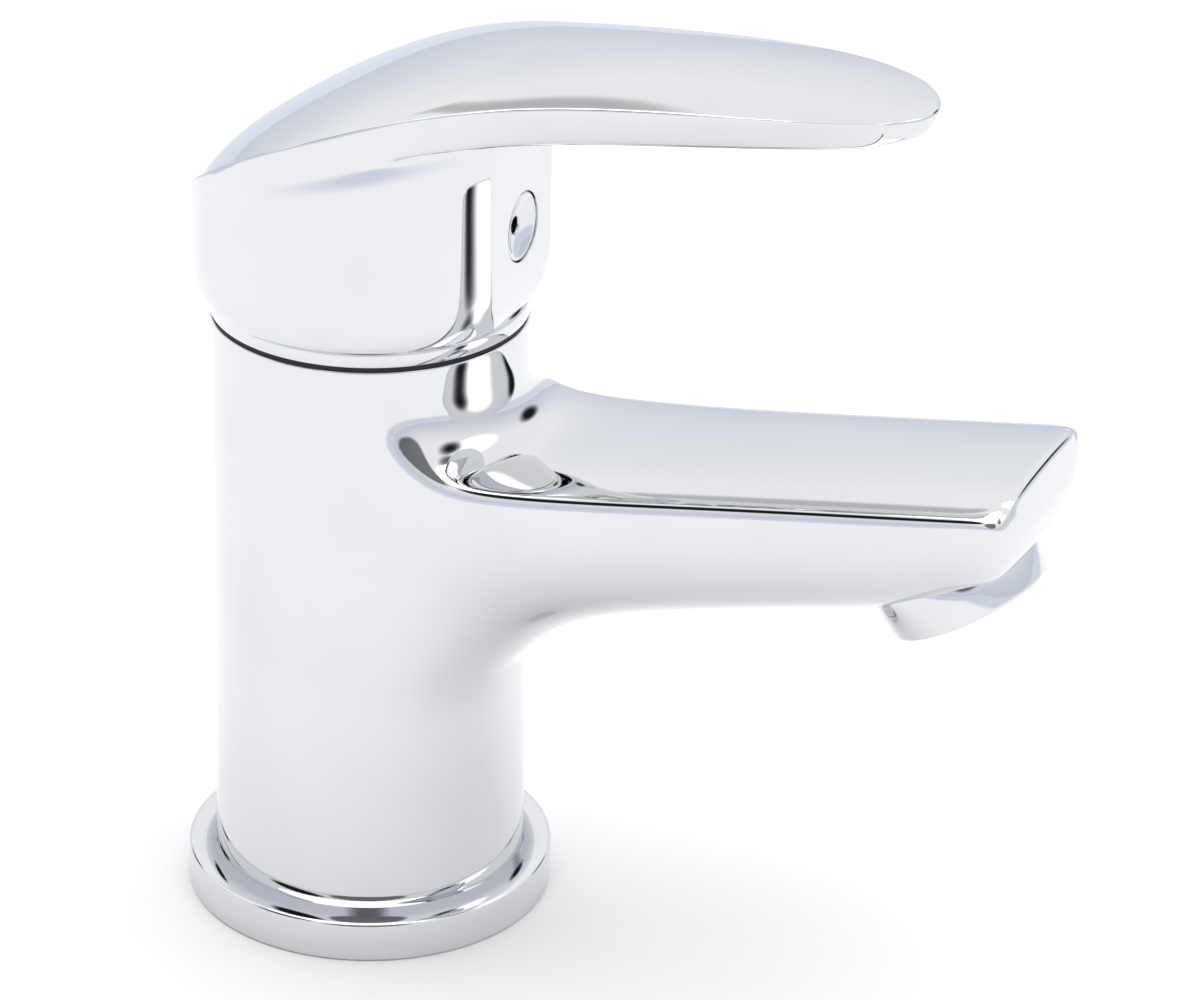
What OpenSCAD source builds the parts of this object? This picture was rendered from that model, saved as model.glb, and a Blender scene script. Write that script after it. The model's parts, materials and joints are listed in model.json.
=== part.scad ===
// Single-lever basin mixer: cast column with a fixed spout, a ceramic-disc
// cartridge under a loop-free lever handle, and a screw-in aerator.
// Millimetres. +Z is up, +X is the way the spout points, and the origin is on
// the column's axis at the level of the surface that the mixer stands on.

/* [Cartridge] */
// Nominal diameter of the ceramic-disc cartridge
cartridge_d = 35; // [30:0.5:42]
// Height of the cartridge body, from its seat to its top lip
cartridge_h = 35; // [32:0.5:42]
// Across-flats width of the square stem
stem_af = 8; // [7:0.5:9.5]
// How far the lever lifts from shut to full flow, in degrees
lift_deg = 25; // [15:1:25]
// How far the lever turns each way from the middle, in degrees
turn_deg = 45; // [30:1:50]

/* [Column] */
// Wall between the cartridge pocket and the outside of the column
pocket_wall = 5.75; // [5.25:0.25:8]
// Height of the column's top edge above the mounting surface
column_h = 93.5; // [78:0.5:115]
// Extra radius at the column's top edge
column_flare = 0.1; // [0:0.05:0.5]

/* [Base ring] */
// How far the base ring stands out past the column
ring_lip = 4.3; // [3.5:0.1:6]
// Height of the base ring at its outer edge
ring_h = 6.3; // [5:0.1:8]

/* [Spout] */
// Horizontal distance from the column's axis to the middle of the outlet
spout_reach = 91.2; // [76:0.1:112]
// Width of the spout along its straight stretch
spout_w = 35.6; // [32:0.2:43]
// Rise of the spout's top edge, in degrees
spout_rise = 9; // [6:0.5:11]
// Depth from the spout's top edge to its keel, at the outlet
spout_depth = 18.6; // [16:0.1:22]
// Lean of the outlet from the vertical, in degrees
outlet_tilt = 30; // [24:1:33]

/* [Inlets and fixing] */
// Drilled diameter of each inlet, tapped M10 x 1
inlet_d = 9; // [8:0.1:10.8]
// Distance between the two inlets
inlet_pitch = 17; // [15:0.5:19]
// Drilled diameter of the fixing-stud hole, tapped M8
stud_d = 6.8; // [5.7:0.1:8.2]

/* [Handle] */
// How far the handle's skirt stands out past the column
skirt_lip = 2.75; // [2.3:0.05:4]
// Horizontal distance from the column's axis to the lever's tip
lever_reach = 85; // [71:0.5:102]
// Height of the lever's crest above the column's top edge
lever_rise = 47.2; // [44:0.1:57]
// Thickness of the lever's edge
lever_edge = 6.1; // [5:0.1:7.4]
// Diameter of the recess for the plug at the front of the handle
index_d = 10.4; // [8.6:0.1:12.4]

/* [Aerator] */
// Outside diameter of the aerator's thread
aerator_d = 22.9; // [19:0.1:27.5]
// Height of the aerator's rim that shows below the outlet
aerator_rim_h = 5.2; // [4.3:0.1:6.3]

/* [Hidden] */
$fn = 96;
eps = 0.01;

// Clearances
run_gap = 0.05;    // radial, where one piece turns in another
thread_gap = 0.05; // radial, where a plain cylinder stands for a screw thread
drop_gap = 0.2;    // radial, where a piece drops into a pocket

// Column
cartridge_r = cartridge_d / 2;
pocket_r = cartridge_r + drop_gap;
column_r = pocket_r + pocket_wall - drop_gap;
column_top_r = column_r + column_flare;
ring_floor = 2.5;
plate_z = 12;
plate_h = 20;
skirt_wall = 3;
hollow_r = column_r - skirt_wall;
thread_depth = 14;

// Cartridge levels, all measured up from its seat
seat_z = column_h - 33.5;
base_h = 5;
disc_seal_h = 1;
fixed_disc_h = 3;
moving_disc_h = 3.5;
driver_h = 5.5;
disc_z = seat_z + base_h + disc_seal_h;
slide_z = disc_z + fixed_disc_h;
driver_z = slide_z + moving_disc_h;
carrier_z = driver_z + driver_h + 0.6;
shoulder_z = seat_z + 24;
lip_z = seat_z + cartridge_h - 3;
top_z = seat_z + cartridge_h;
pivot_z = seat_z + 24;
ball_r = 3.2;
socket_floor = 0.5;
ball_z = driver_z + socket_floor + ball_r + 0.1;
neck_r = cartridge_r - 2.1;
carrier_r = neck_r - 1.9;
housing_wall = 2.1;
glide_h = 0.8;

// Cartridge nut and trim
nut_r = pocket_r + 1.3;
nut_top_z = column_h + 2.7;
trim_seal_h = 0.5;
trim_top_z = column_h + 3.8;
trim_round = 1.4;

// Ports, at the same places in the seat and in the cartridge
port_r = 3.5;
inlet_y = inlet_pitch / 2;
inlet_x = -2;
inlet_port = [inlet_x, inlet_y];
mixed_port = [9, 0];
stud_x = -12.5;
riser_r = port_r + 1.8;
riser_socket = 3.5;
chamber_top_z = seat_z - 4;

// Stem and slide
seal_groove_r = 6;
stem_r = 4.6;
pin_r = 2;
arm_r = 2;
disc_r = cartridge_r - 6.4;
flat_y = disc_r - 2.1;
stem_top_z = top_z + 22;

// Handle
skirt_r = column_r + skirt_lip;
skirt_z = column_h + 3.5;
skirt_inner_r = column_r + 0.6;
lip_wall = skirt_r - 1.2;
crest_z = column_h + lever_rise;
crest_x = lever_reach - 25;
crown = 2.4;
crease = 0.3;
lever_r = skirt_r + crease;
index_z = column_h + 17.1;
facet_x = skirt_r - 2;
plug_depth = 4.5;
boss_r = 9;
boss_z = top_z + 8;
web_r = index_d / 2 + 1.8;
grub_r = 2.5;

// Spout, with its section drawn from its top edge down
spout_tip_x = spout_reach + 12.2;
edge_z0 = column_h - 20.9;
spout_half = spout_w / 2;
root_half_gain = 2.2;
spout_crown = 1.5;
throat_r = 8;
chin_r = 26;
outlet_x = spout_reach;
outlet_z = edge_z(outlet_x) - spout_depth + 2.95;
collar_r = aerator_d / 2 + 1.35;

// ---------- shared shapes ----------

// A ring of square section, standing on z
module ring(inner, outer, z, h) {
    translate([0, 0, z])
        difference() {
            cylinder(r = outer, h = h);
            translate([0, 0, -eps])
                cylinder(r = inner, h = h + 2 * eps);
        }
}

// A ring of round section whose middle lies at z
module o_ring(middle_r, section_r, z) {
    translate([0, 0, z])
        rotate_extrude()
            translate([middle_r, 0])
                circle(r = section_r, $fn = 32);
}

// A closed skin through rings that have the same number of points
module skin(rings) {
    n = len(rings[0]);
    last = len(rings) - 1;
    points = [for (r = rings) for (p = r) p];
    sides = [
        for (k = [0 : last - 1], i = [0 : n - 1], t = [0, 1])
            let (a = k * n + i, b = k * n + (i + 1) % n)
            t == 0 ? [a, a + n, b] : [b, a + n, b + n]
    ];
    first_cap = [for (i = [0 : n - 1]) i];
    last_cap = [for (i = [n - 1 : -1 : 0]) last * n + i];
    polyhedron(points = points, faces = concat(sides, [first_cap, last_cap]), convexity = 6);
}

// Puts its children on the outlet's axis, with +Z pointing up into the spout
module at_outlet() {
    translate([outlet_x, 0, outlet_z])
        rotate([0, -outlet_tilt, 0])
            children();
}

// Cylinder along X from x0 to x1
module bar_x(r, x0, x1, z) {
    translate([x0, 0, z])
        rotate([0, 90, 0])
            cylinder(r = r, h = x1 - x0);
}

// ---------- body ----------

function edge_z(x) = edge_z0 + x * tan(spout_rise);
function half_w(x) =
    let (back = column_r + 6.75 - x, root = spout_half + root_half_gain)
    back <= 0 ? spout_half + root_half_gain * exp(back / 18)
    : min(column_r - 0.65, root + 0.06 * back + 0.002 * back * back);
function keel_z(x) =
    edge_z(outlet_x) - spout_depth - 0.15 - (outlet_x - x) * tan(spout_rise + 4.2);

// Height of a round fillet of radius r at a distance d from the wall it climbs
function fillet(d, r) =
    d >= r ? 0 : d <= 0 ? r + min(2, -3 * d) : r - sqrt(r * r - (r - d) * (r - d));

// One cross-section of the spout at x: the crowned top, then the rounded belly
function spout_ring(x) =
    let (w = half_w(x), n_top = 18, n_belly = 26)
    concat(
        [for (i = [0 : n_top])
            let (y = w * cos(180 * i / n_top), d = norm([x, y]) - column_r)
            [x, y, edge_z(x) + spout_crown * (1 - pow(y / w, 2)) + fillet(d, throat_r)]],
        [for (i = [1 : n_belly - 1])
            let (
                a = 180 + 180 * i / n_belly,
                y = w * sign(cos(a)) * pow(abs(cos(a)), 0.9),
                d = norm([x, y]) - column_r,
                drop = (edge_z(x) - keel_z(x)) * pow(abs(sin(a)), 0.85)
            )
            [x, y, edge_z(x) - drop - fillet(d, chin_r) * abs(sin(a))]]
    );

spout_steps = concat([0, 5, 9], [for (i = [0 : 13]) 11 + (column_r - 11.2) * i / 13]);
root_steps = [for (i = [0 : 13]) column_r + 0.2 + chin_r * pow(i / 13, 1.7)];
reach_steps = [for (i = [1 : 6]) column_r + 0.2 + chin_r + (spout_tip_x + 4 - column_r - 0.2 - chin_r) * i / 6];

// Side view of the nose: what lies past this line is cut away
module nose_cut() {
    plane_z = outlet_z + (spout_tip_x - outlet_x) * tan(outlet_tilt);
    bulge = 1.9;
    tip = [for (i = [0 : 8])
        let (t = i / 8, top = edge_z(spout_tip_x) + 3)
        [spout_tip_x + bulge * sin(180 * pow(t, 0.85)) * (1 - 0.25 * t), top + (plane_z - top) * t]];
    rotate([90, 0, 0])
        linear_extrude(height = 4 * spout_w, center = true)
            polygon(concat(
                tip,
                [[outlet_x - 2 * collar_r, outlet_z - 2 * collar_r * tan(outlet_tilt)],
                 [outlet_x - 2 * collar_r, 0],
                 [spout_tip_x + 40, 0],
                 [spout_tip_x + 40, column_h + 40],
                 [spout_tip_x, column_h + 40]]
            ));
}

module column_outside() {
    rotate_extrude()
        polygon([
            [0, ring_floor], [column_r - 0.4, ring_floor], [column_r, ring_floor + 0.4],
            [column_top_r, column_h - 0.5], [column_top_r - 0.5, column_h], [0, column_h]
        ]);
}

// Way from the mixing chamber round the risers out to the outlet
module waterways() {
    translate([mixed_port[0], mixed_port[1], seat_z - 5])
        cylinder(r = port_r, h = 6);
    duct_r = 6;
    start = [6, chamber_top_z - duct_r - 0.5];
    end = [outlet_x - 6.5, outlet_z + 8];
    run = end - start;
    translate([start[0], 0, start[1]])
        rotate([0, atan2(run[0], run[1]), 0])
            cylinder(r = duct_r, h = norm(run));
}

module body() {
    color([0.86, 0.87, 0.89])
    difference() {
        union() {
            column_outside();
            difference() {
                skin([for (x = concat(spout_steps, root_steps, reach_steps)) spout_ring(x)]);
                nose_cut();
                // the pocket side of the loft stops inside the column
                translate([-50, -50, -eps])
                    cube([50 + eps, 100, column_h + 50]);
            }
            at_outlet()
                cylinder(r = collar_r, h = 10);
        }
        // cartridge pocket and the thread for its nut
        translate([0, 0, seat_z])
            cylinder(r = pocket_r, h = column_h);
        translate([0, 0, shoulder_z])
            cylinder(r = nut_r + thread_gap, h = column_h);
        // bore of the foot, past the inlet block and up to the roof of the mixing chamber
        translate([0, 0, -eps])
            cylinder(r = hollow_r, h = chamber_top_z + eps);
        // sockets for the risers, and the ports above them
        for (side = [-1, 1])
            translate([inlet_x, side * inlet_y, chamber_top_z - eps]) {
                cylinder(r = riser_r + thread_gap, h = 2.5 + eps);
                cylinder(r = port_r, h = seat_z - chamber_top_z + 1);
            }
        waterways();
        // holes for the cartridge's locating pins
        for (side = [-1, 1])
            translate([-cartridge_r + 6, side * 4.5, seat_z - 3])
                cylinder(r = 1.6, h = 4);
        // aerator thread
        at_outlet() {
            translate([0, 0, -eps])
                cylinder(r = aerator_d / 2 + thread_gap, h = 10);
            cylinder(r = 8, h = 11.5);
        }
    }
}

// ---------- base and trim ----------

module base_ring() {
    r = column_r + ring_lip;
    color([0.86, 0.87, 0.89])
    rotate_extrude()
        polygon(concat(
            [[column_r - 2.6, 0], [column_r + 0.6, 0], [column_r + 0.6, 1.8],
             [r - 1, 1.8], [r - 1, 0], [r - 0.3, 0], [r, 0.3]],
            [for (a = [0 : 15 : 90]) [r - 0.5 + 0.5 * cos(a), ring_h - 0.5 + 0.5 * sin(a)]],
            [[column_r + 0.15, ring_h + 0.5], [column_r + 0.15, ring_floor], [column_r - 2.6, ring_floor]]
        ));
}

module base_seal() {
    color([0.12, 0.12, 0.13])
    ring(column_r + 0.7, column_r + ring_lip - 1.1, 0, 1.7);
}

// ---------- inlets ----------

// Turned block that closes the foot, with the hose and stud threads
module inlet_block() {
    top_z = plate_z + plate_h;
    color([0.80, 0.68, 0.38])
    difference() {
        translate([0, 0, plate_z])
            cylinder(r = hollow_r - thread_gap, h = plate_h);
        for (side = [-1, 1])
            translate([inlet_x, side * inlet_y, plate_z - eps]) {
                cylinder(r = inlet_d / 2, h = thread_depth + eps);
                cylinder(r = port_r, h = plate_h + 2 * eps);
                translate([0, 0, plate_h - riser_socket + eps])
                    cylinder(r = riser_r + thread_gap, h = riser_socket + eps);
            }
        translate([stud_x, 0, plate_z - eps])
            cylinder(r = stud_d / 2, h = thread_depth + eps);
        // groove for the O-ring
        ring(hollow_r - 1.6, hollow_r + 1, top_z - 4.2, 2);
    }
}

module block_seal() {
    top_z = plate_z + plate_h;
    color([0.12, 0.12, 0.13])
    ring(hollow_r - 1.57, hollow_r - 0.03, top_z - 4.17, 1.94);
}

// Two tubes that carry hot and cold water up to the cartridge's seat
module risers() {
    foot_z = plate_z + plate_h - riser_socket;
    color([0.80, 0.68, 0.38])
    for (side = [-1, 1])
        translate([inlet_x, side * inlet_y, foot_z])
            difference() {
                cylinder(r = riser_r, h = chamber_top_z + 2.4 - foot_z);
                translate([0, 0, -eps])
                    cylinder(r = port_r, h = seat_z - foot_z);
            }
}

module trim_seal() {
    color([0.08, 0.08, 0.09])
    ring(nut_r + 0.6, column_r - 0.35, column_h, trim_seal_h);
}

module trim_ring() {
    z = column_h + trim_seal_h;
    r = column_r - 0.05;
    color([0.86, 0.87, 0.89])
    rotate_extrude()
        polygon(concat(
            [[nut_r + thread_gap, z], [r - 0.2, z], [r, z + 0.2]],
            [for (a = [0 : 15 : 90])
                [r - trim_round + trim_round * cos(a), trim_top_z - trim_round + trim_round * sin(a)]],
            [[nut_r + thread_gap, trim_top_z]]
        ));
}

module cartridge_nut() {
    color([0.80, 0.68, 0.38])
    difference() {
        translate([0, 0, shoulder_z])
            cylinder(r = nut_r, h = nut_top_z - shoulder_z);
        translate([0, 0, shoulder_z - eps])
            cylinder(r = neck_r + drop_gap, h = nut_top_z);
        // four slots for the nut key
        for (a = [0 : 90 : 270])
            rotate([0, 0, a])
                translate([neck_r - 1, -2.5, nut_top_z - 3])
                    cube([10, 5, 4]);
    }
}

// ---------- cartridge ----------

module port_holes(z, h, r) {
    for (p = [inlet_port, [inlet_port[0], -inlet_port[1]], mixed_port])
        translate([p[0], p[1], z])
            cylinder(r = r, h = h);
}

module cartridge_base() {
    color([0.93, 0.93, 0.90])
    difference() {
        union() {
            translate([0, 0, seat_z + 0.3])
                cylinder(r = cartridge_r - 0.1, h = base_h - 0.3);
            for (side = [-1, 1])
                translate([-cartridge_r + 6, side * 4.5, seat_z - 2.6])
                    cylinder(r = 1.5, h = 4);
        }
        port_holes(seat_z - 1, base_h + 2, port_r);
        port_holes(seat_z - 1, 2.5, port_r + 1.4);
    }
}

module port_seals() {
    color([0.10, 0.10, 0.11])
    for (p = [inlet_port, [inlet_port[0], -inlet_port[1]], mixed_port])
        translate([p[0], p[1], 0])
            ring(port_r + 0.05, port_r + 1.35, seat_z, 1.5);
}

module disc_seal() {
    z = seat_z + base_h;
    color([0.10, 0.10, 0.11])
    difference() {
        translate([0, 0, z])
            cylinder(r = cartridge_r - 3, h = disc_seal_h);
        port_holes(z - 1, disc_seal_h + 2, port_r);
    }
}

module fixed_disc() {
    color([0.96, 0.96, 0.94])
    difference() {
        translate([0, 0, disc_z])
            cylinder(r = cartridge_r - 2.6, h = fixed_disc_h);
        port_holes(disc_z - 1, fixed_disc_h + 2, port_r - 0.4);
    }
}

// The disc that slides has a mixing pocket in its face
module moving_disc() {
    pocket_h = 2;
    pocket_w = 6;
    color([0.96, 0.96, 0.94])
    difference() {
        translate([0, 0, slide_z])
            cylinder(r = disc_r, h = moving_disc_h);
        translate([-3, -pocket_w / 2, slide_z - 1])
            cube([9, pocket_w, pocket_h + 1]);
        for (x = [-3, 6])
            translate([x, 0, slide_z - 1])
                cylinder(r = pocket_w / 2, h = pocket_h + 1);
    }
}

module disc_driver() {
    color([0.30, 0.45, 0.62])
    difference() {
        translate([0, 0, driver_z])
            cylinder(r = disc_r, h = driver_h);
        // the socket that the stem's ball works in
        translate([0, 0, driver_z + socket_floor])
            cylinder(r = ball_r + 0.15, h = driver_h);
        // flats that slide between the carrier's legs
        for (side = [-1, 1])
            translate([-disc_r - 1, side * (flat_y + 5) - 5, driver_z - 1])
                cube([2 * disc_r + 2, 10, driver_h + 2]);
        ring(seal_groove_r - 0.1, seal_groove_r + 1.6, driver_z - 1, 1.8);
    }
}

module driver_seal() {
    color([0.10, 0.10, 0.11])
    ring(seal_groove_r, seal_groove_r + 1.5, driver_z, 0.75);
}

module cartridge_housing() {
    z0 = seat_z + base_h;
    color([0.93, 0.93, 0.90])
    difference() {
        union() {
            translate([0, 0, z0])
                cylinder(r = cartridge_r - 0.1, h = shoulder_z - z0);
            translate([0, 0, shoulder_z - eps])
                cylinder(r = neck_r, h = top_z - shoulder_z);
        }
        translate([0, 0, z0 - eps])
            cylinder(r = cartridge_r - housing_wall, h = carrier_z - 0.4 - z0);
        translate([0, 0, z0])
            cylinder(r = carrier_r + run_gap, h = lip_z - z0);
        translate([0, 0, z0])
            cylinder(r = carrier_r - 2.4, h = cartridge_h);
    }
}

module hot_limit_ring() {
    color([0.72, 0.10, 0.10])
    difference() {
        ring(carrier_r - 1.9, neck_r - 1, top_z, 1.3);
        // the gap in the ring that sets how far the lever may turn
        rotate([0, 0, 150])
            translate([0, -3, top_z - eps])
                cube([neck_r, 6, 2]);
    }
}

module glide_ring() {
    color([0.90, 0.90, 0.86])
    ring(carrier_r - 2.2, carrier_r - 0.1, lip_z - glide_h, glide_h);
}

module carrier() {
    h = lip_z - glide_h - carrier_z;
    color([0.30, 0.45, 0.62])
    difference() {
        union() {
            translate([0, 0, carrier_z])
                cylinder(r = carrier_r, h = h);
            // legs that turn the driver and guide its flats
            for (side = [-1, 1])
                translate([-4, side * (flat_y + 1.3) - 1, driver_z + 1])
                    cube([8, 2, carrier_z - driver_z]);
        }
        translate([-9.2, -stem_r - 0.1, carrier_z - 1])
            cube([15.8, 2 * stem_r + 0.2, h + 2]);
        translate([0, 0, pivot_z])
            rotate([90, 0, 0])
                cylinder(r = pin_r + 0.01, h = 4 * carrier_r, center = true);
    }
}

module stem_pin() {
    color([0.70, 0.71, 0.73])
    translate([0, 0, pivot_z])
        rotate([90, 0, 0])
            cylinder(r = pin_r, h = 2 * carrier_r - 2, center = true);
}

module stem() {
    color([0.80, 0.68, 0.38])
    difference() {
        union() {
            translate([0, 0, pivot_z])
                rotate([90, 0, 0])
                    cylinder(r = stem_r, h = 2 * stem_r - 0.2, center = true);
            translate([-stem_af / 2, -stem_af / 2, pivot_z])
                cube([stem_af, stem_af, stem_top_z - pivot_z]);
            translate([0, 0, ball_z])
                cylinder(r = arm_r, h = pivot_z - ball_z);
            translate([0, 0, ball_z])
                sphere(r = ball_r);
        }
        // the ball is flat underneath, clear of the socket's floor
        translate([-5, -5, ball_z - ball_r - 1])
            cube([10, 10, 3.7]);
        translate([0, 0, pivot_z])
            rotate([90, 0, 0])
                cylinder(r = pin_r + run_gap, h = 4 * stem_r, center = true);
    }
}

// ---------- handle ----------

// Middle line of the lever's top: level at its crest, falling faster to the back
function top_line(x) =
    let (u = crest_x - x, back = crest_x + skirt_r)
    crest_z - 0.00275 * u * u - (u > 0 ? 7.9 * pow(u / back, 6) : 0);

// Half-width of the lever: the skirt's circle behind the axis, slim in front, round at the tip
function lever_half(x) =
    x <= 0 ? sqrt(max(1, lever_r * lever_r - x * x))
    : let (slim = 15.2, t = max(0, (x - 40) / (lever_reach - 40)))
      (slim + (lever_r - slim) / (1 + pow(x / 22, 2))) * sqrt(max(0.03, 1 - pow(t, 3.2)));

function lever_thick(x) =
    let (s = lever_reach - 35)
    x < 0 ? lever_edge * (1 + 0.28 * x / lever_r)
    : lever_edge * sqrt(max(0.06, x <= s ? 1 : 1 - pow((x - s) / (lever_reach - s), 2)));

// One cross-section of the lever at x: crowned top, rounded edges, dished underside
function lever_ring(x) =
    let (
        w = lever_half(x), thick = lever_thick(x), soft = min(1.05, w / 4),
        n_top = 16, n_low = 10, s = lever_reach - 35,
        crest = crown * (x < s ? 1 : 1 - 0.9 * (x - s) / 35),
        rim = top_line(x) - crest,
        rise = crest * pow(min(1, w / 15), 1.6)
    )
    concat(
        [for (i = [0 : n_top])
            let (c = cos(180 * i / n_top))
            [x, (w - soft) * c, rim + rise * (1 - pow(abs(c), 2.2))]],
        [[x, -w, rim - thick * 0.3], [x, -w, rim - thick * 0.55]],
        [for (i = [0 : n_low])
            let (c = -cos(180 * i / n_low))
            [x, (w - 2 * soft) * c, rim - thick + min(1, thick / 5) * (1 - c * c)]],
        [[x, w, rim - thick * 0.55], [x, w, rim - thick * 0.3]]
    );

lever_steps = concat(
    [for (i = [0 : 8]) -lever_r * cos(90 * i / 8) * 0.999],
    [for (i = [1 : 9]) 40 * i / 9],
    [for (i = [1 : 12]) 40 + (lever_reach - 40) * sin(90 * i / 12)]
);

module skirt_outside() {
    turn_r = 7;
    intersection() {
        rotate_extrude()
            polygon(concat(
                [[0, skirt_z], [lip_wall - 0.4, skirt_z], [lip_wall, skirt_z + 0.3]],
                [for (a = [-75 : 15 : 0])
                    [skirt_r - (skirt_r - lip_wall) * (1 - cos(a)) / (1 - cos(75)),
                     skirt_z + turn_r + turn_r * sin(a) / sin(75) * 0.94]],
                [[skirt_r, crest_z + 10], [0, crest_z + 10]]
            ));
        // the skirt ends inside the lever, just under its crowned top
        rotate([90, 0, 0])
            linear_extrude(height = 4 * skirt_r, center = true)
                polygon(concat(
                    [for (x = [-skirt_r - 1 : 3 : skirt_r + 1]) [x, top_line(max(x, -skirt_r)) - crown - 2.4]],
                    [[skirt_r + 1, 0], [-skirt_r - 1, 0]]
                ));
    }
}

module handle_cavity() {
    // round lip at the bottom
    translate([0, 0, skirt_z - 1])
        cylinder(r = skirt_inner_r, h = 3.5);
    difference() {
        intersection() {
            translate([0, 0, skirt_z])
                cylinder(r = skirt_inner_r - 0.5, h = 60);
            translate([-50, -50, 0])
                cube([50 + facet_x - 2.4, 100, 200]);
            rotate([90, 0, 0])
                linear_extrude(height = 4 * skirt_r, center = true)
                    polygon(concat(
                        [for (x = [-skirt_r - 1 : 3 : skirt_r + 1]) [x, top_line(max(x, -skirt_r)) - crown - 3.1]],
                        [[skirt_r + 1, 0], [-skirt_r - 1, 0]]
                    ));
        }
        // boss that grips the stem, and the web that carries the grub screw
        translate([0, 0, boss_z])
            cylinder(r = boss_r, h = 60);
        bar_x(web_r, 0, skirt_r + 5, index_z);
    }
}

module handle() {
    color([0.86, 0.87, 0.89])
    difference() {
        union() {
            difference() {
                skirt_outside();
                // flat at the front of the skirt
                translate([facet_x, -50, 0])
                    cube([skirt_r, 100, 2 * crest_z]);
            }
            skin([for (x = lever_steps) lever_ring(x)]);
        }
        handle_cavity();
        // square socket for the stem
        translate([-stem_af / 2 - 0.1, -stem_af / 2 - 0.1, boss_z - 1])
            cube([stem_af + 0.2, stem_af + 0.2, stem_top_z + 0.5 - boss_z + 1]);
        bar_x(grub_r + thread_gap, 0, facet_x, index_z);
        bar_x(index_d / 2, facet_x - plug_depth, skirt_r + 5, index_z);
    }
}

module grub_screw() {
    length = 8;
    color([0.25, 0.25, 0.27])
    difference() {
        bar_x(grub_r, stem_af / 2, stem_af / 2 + length, index_z);
        translate([stem_af / 2 + length - 3, 0, index_z])
            rotate([0, 90, 0])
                cylinder(r = 1.45, h = 4, $fn = 6);
    }
}

// Dished plug in the recess, with a hole that lets a key through to the grub screw
module index_plug() {
    r = index_d / 2 - 0.15;
    height = 4.2;
    dish = 1.1;
    hole_r = 1.25;
    color([0.86, 0.87, 0.89])
    translate([facet_x - plug_depth + 0.1, 0, index_z])
        rotate([0, 90, 0])
            rotate_extrude()
                polygon(concat(
                    [[hole_r, 0], [r, 0], [r, height - 0.15], [r - 0.15, height]],
                    [for (i = [10 : -1 : 0])
                        let (u = hole_r + (r - 0.5 - hole_r) * i / 10)
                        [u, height - dish * (1 - pow(u / (r - 0.5), 2))]]
                ));
}

// ---------- aerator ----------

aerator_r = aerator_d / 2;
aerator_bore_r = aerator_r - 1.3;
aerator_neck_h = 7.5;

module aerator_housing() {
    rim_r = collar_r - 0.5;
    color([0.86, 0.87, 0.89])
    at_outlet()
    rotate_extrude()
        polygon([
            [aerator_bore_r, aerator_neck_h], [aerator_r, aerator_neck_h], [aerator_r, 0],
            [rim_r, -0.05], [rim_r, -0.5], [rim_r - 0.5, -aerator_rim_h + 0.4],
            [rim_r - 0.9, -aerator_rim_h], [aerator_bore_r - 0.6, -aerator_rim_h],
            [aerator_bore_r - 0.6, -aerator_rim_h + 1.4], [aerator_bore_r, -aerator_rim_h + 1.4]
        ]);
}

module aerator_gasket() {
    color([0.10, 0.10, 0.11])
    at_outlet()
        ring(8.2, aerator_r - 0.2, aerator_neck_h, 10 - aerator_neck_h - 0.2);
}

// Round holes on rings, about step apart
module hole_rings(r_max, step, hole_r, z, h) {
    for (k = [0 : floor(r_max / step)])
        let (n = k == 0 ? 1 : round(2 * PI * k))
        for (i = [0 : n - 1])
            rotate([0, 0, 360 * i / n])
                translate([k * step, 0, z])
                    cylinder(r = hole_r, h = h, $fn = 24);
}

module aerator_screen() {
    color([0.62, 0.63, 0.65])
    at_outlet()
    difference() {
        translate([0, 0, aerator_neck_h - 1.2])
            cylinder(r = aerator_bore_r - 0.1, h = 0.5);
        hole_rings(aerator_bore_r - 2, 2.4, 0.8, aerator_neck_h - 2, 2);
    }
}

module aerator_insert() {
    color([0.90, 0.90, 0.88])
    at_outlet()
    difference() {
        translate([0, 0, -1])
            cylinder(r = aerator_bore_r - 0.1, h = aerator_neck_h - 0.3);
        // mixing chamber under the jet plate
        translate([0, 0, -2])
            cylinder(r = aerator_bore_r - 1.4, h = 4.6);
        hole_rings(aerator_bore_r - 2, 4.1, 0.7, 2, 6);
        // air slots round the side
        for (a = [0 : 30 : 330])
            rotate([0, 0, a])
                translate([aerator_bore_r - 2.4, -0.8, -0.2])
                    cube([3, 1.6, 1.8]);
    }
}

module aerator_outlet_grid() {
    z = -aerator_rim_h + 1.45;
    color([0.90, 0.90, 0.88])
    at_outlet()
    difference() {
        translate([0, 0, z])
            cylinder(r = aerator_bore_r - 0.1, h = 2.2);
        hole_rings(aerator_bore_r - 1.8, 2.1, 0.82, z - 1, 5);
    }
}

body();
base_ring();
base_seal();
inlet_block();
block_seal();
risers();
trim_ring();
trim_seal();
cartridge_nut();
cartridge_housing();
cartridge_base();
port_seals();
disc_seal();
fixed_disc();
moving_disc();
disc_driver();
driver_seal();
carrier();
glide_ring();
stem();
stem_pin();
hot_limit_ring();
handle();
grub_screw();
index_plug();
aerator_housing();
aerator_gasket();
aerator_screen();
aerator_insert();
aerator_outlet_grid();
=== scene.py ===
# %% [markdown]
# # A chromed basin mixer
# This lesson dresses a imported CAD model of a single-lever basin mixer. The CAD
# gives exact seats, pins and joints, and its nodes stay in the scene as the
# frame. Chrome is a mirror, and a mirror shows every facet, so each polished
# casting that the eye meets is modelled again here as a smooth surface that
# follows the same dimensions. Everything is in metres, in the CAD's own frame:
# +Z is up and the spout points along +X. Sizes are written in millimetres.

# %% Load the frame
import json
import math

import bmesh
import bpy
from mathutils import Matrix, Vector


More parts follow.
